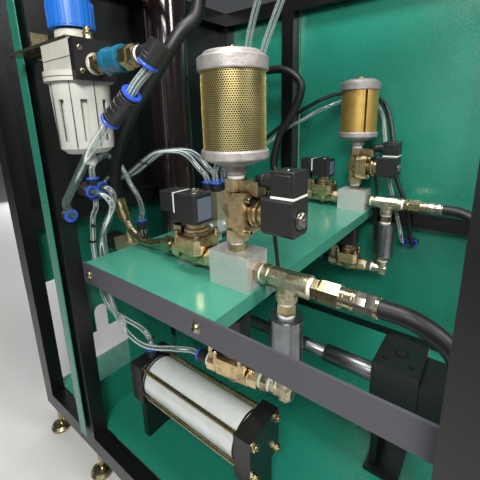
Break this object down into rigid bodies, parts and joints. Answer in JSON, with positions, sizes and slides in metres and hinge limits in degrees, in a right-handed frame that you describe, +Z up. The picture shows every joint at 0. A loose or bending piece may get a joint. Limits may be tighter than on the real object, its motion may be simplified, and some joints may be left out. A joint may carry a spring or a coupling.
{
  "type": "blow moulding machine valve bay",
  "caption": "Pneumatic valve bay of a blow moulding machine: tube frame, panels, shelf, pilot valves, silencer stacks, hoses and air regulator.",
  "frame": {"origin": "underside of the front left levelling foot", "axes": "+X along the front rail to the right, +Y from the open front into the bay, +Z up, the longest extent"},
  "size_m": [0.887, 0.836, 1.13],
  "materials": {
    "black_paint": "gloss",
    "dark_paint": "satin",
    "green_paint": "gloss",
    "grey_paint": "satin",
    "zinc_steel": "yellow zinc plated",
    "bare_aluminium": "machined",
    "brass": "forged and machined",
    "black_plastic": "satin",
    "cast_aluminium": "as cast",
    "perforated_brass": "perforated",
    "white_tape": "matt",
    "dark_steel": "turned",
    "rubber": "matt",
    "light_plastic": "satin",
    "blue_plastic": "satin",
    "bowl_guard": "satin",
    "clear_tube": "clear",
    "rod_steel": "ground"
  },
  "bodies": {
    "frame": {"frame_posts": "black_paint", "frame_long_rails": "black_paint", "frame_cross_rails": "dark_paint", "levelling_feet": "zinc_steel", "back_panel": "green_paint", "side_panel": "dark_paint", "side_partition": "green_paint", "floor_pan": "green_paint", "shelf": "green_paint", "front_rail": "grey_paint", "frame_bolts": "zinc_steel", "tie_column": "dark_paint", "front_block": "bare_aluminium", "rear_block": "bare_aluminium", "exhaust_valve_body": "brass", "exhaust_valve_coil": "black_plastic", "exhaust_valve_plug": "black_plastic", "inlet_valve_body": "brass", "inlet_valve_coil": "black_plastic", "inlet_valve_plug": "black_plastic", "rear_exhaust_body": "brass", "rear_exhaust_coil": "black_plastic", "rear_exhaust_plug": "black_plastic", "rear_inlet_body": "brass", "rear_inlet_coil": "black_plastic", "recovery_valve_body": "brass", "recovery_valve_coil": "black_plastic", "drain_valve_body": "brass", "drain_valve_coil": "black_plastic", "silencer_base": "cast_aluminium", "silencer_tube": "perforated_brass", "silencer_cap": "cast_aluminium", "rear_silencer_base": "cast_aluminium", "rear_silencer_tube": "perforated_brass", "rear_silencer_cap": "cast_aluminium", "hex_nipples": "zinc_steel", "tape_rings": "white_tape", "front_tee": "zinc_steel", "rear_tee": "zinc_steel", "front_check_valve": "dark_steel", "rear_check_valve": "dark_steel", "elbows": "zinc_steel", "hose_ends": "zinc_steel", "front_hose": "rubber", "rear_hose": "rubber", "feed_pipe": "zinc_steel", "feed_hose": "rubber", "regulator_body": "light_plastic", "filter_bowl": "bowl_guard", "regulator_bracket": "zinc_steel", "coupler_socket": "zinc_steel", "push_in_fittings": "black_plastic", "air_tubes": "clear_tube", "valve_cables": "rubber", "pilot_valve": "light_plastic", "rod_cylinder": "black_paint", "clamp_cylinder": "bare_aluminium"},
    "knob": {"regulator_knob": "blue_plastic"},
    "sleeve": {"coupler_sleeve": "blue_plastic"},
    "rod": {"piston_rod": "rod_steel"}
  },
  "joints": [
    {"name": "regulator_knob_turn", "type": "hinge", "parent": "frame", "child": "knob", "pos_m": [0.175, -0.025, 0.9], "axis": [0, 0, 1], "range_deg": [-360, 360]},
    {"name": "coupler_sleeve_slide", "type": "slide", "parent": "frame", "child": "sleeve", "axis": [-1, 0, 0], "range_m": [0, 0.005], "stiffness_N_per_m": 800, "springref_m": -0.003},
    {"name": "piston_rod_slide", "type": "slide", "parent": "frame", "child": "rod", "axis": [1, 0, 0], "range_m": [-0.1, 0]}
  ]
}
